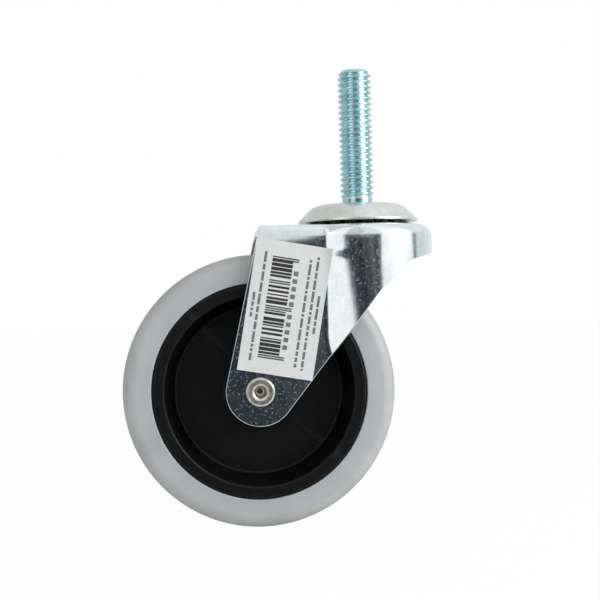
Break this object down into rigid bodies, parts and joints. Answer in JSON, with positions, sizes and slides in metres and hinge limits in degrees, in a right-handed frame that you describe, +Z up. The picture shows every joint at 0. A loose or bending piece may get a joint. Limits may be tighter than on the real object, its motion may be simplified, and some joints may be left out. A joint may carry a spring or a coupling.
{
  "type": "threaded stem swivel castor with side brake",
  "caption": "Swivel castor: threaded stem, ball-race head, pressed steel fork, black dished hub with a pale grey tyre, and a foot-operated brake lever on one side.",
  "frame": {"origin": "foot of the stem's thread, on the stem's axis at the cap's flat seat", "axes": "+Z up the stem, the wheel trails towards -X, the brake lever is on the +Y side"},
  "size_m": [0.0879, 0.0521, 0.127],
  "materials": {
    "stem_zinc": "bright blue zinc plate, satin",
    "cap_zinc": "pale zinc plate, soft satin",
    "fork_zinc": "bright zinc plate, mirror-like with fine haze",
    "race_steel": "steel balls in dark grease",
    "axle_steel": "plain riveted steel",
    "lever_zinc": "bright zinc plate",
    "hub_plastic": "matt moulded black",
    "tyre_grey": "smooth pale grey, slightly translucent",
    "label_paper": "white printed paper"
  },
  "bodies": {
    "stem": {"threaded_stem": "stem_zinc", "top_cap": "cap_zinc", "lower_race": "fork_zinc"},
    "balls": {"upper_balls": "race_steel", "lower_balls": "race_steel"},
    "fork": {"fork": "fork_zinc", "axle_rivet": "axle_steel", "axle_sleeve": "axle_steel", "near_thrust_washer": "axle_steel", "far_thrust_washer": "axle_steel", "cam_washer": "axle_steel", "spring_washer": "axle_steel", "paper_label": "label_paper"},
    "wheel": {"hub": "hub_plastic", "tyre": "tyre_grey"},
    "brake_lever": {"brake_lever": "lever_zinc"}
  },
  "joints": [
    {"name": "swivel", "type": "hinge", "parent": "stem", "child": "fork", "pos_m": [0, 0, 0], "axis": [0, 0, 1], "continuous": true},
    {"name": "ball_orbit", "type": "hinge", "parent": "stem", "child": "balls", "pos_m": [0, 0, 0], "axis": [0, 0, 1], "continuous": true},
    {"name": "wheel_spin", "type": "hinge", "parent": "fork", "child": "wheel", "pos_m": [-0.0297, 0, -0.0514], "axis": [0, 1, 0], "continuous": true},
    {"name": "brake_press", "type": "hinge", "parent": "fork", "child": "brake_lever", "pos_m": [-0.0297, 0, -0.0514], "axis": [0, -1, 0], "range_deg": [0, 34]}
  ],
  "couplings": [
    {"joint": "ball_orbit", "follows": "swivel", "ratio": 0.5}
  ]
}
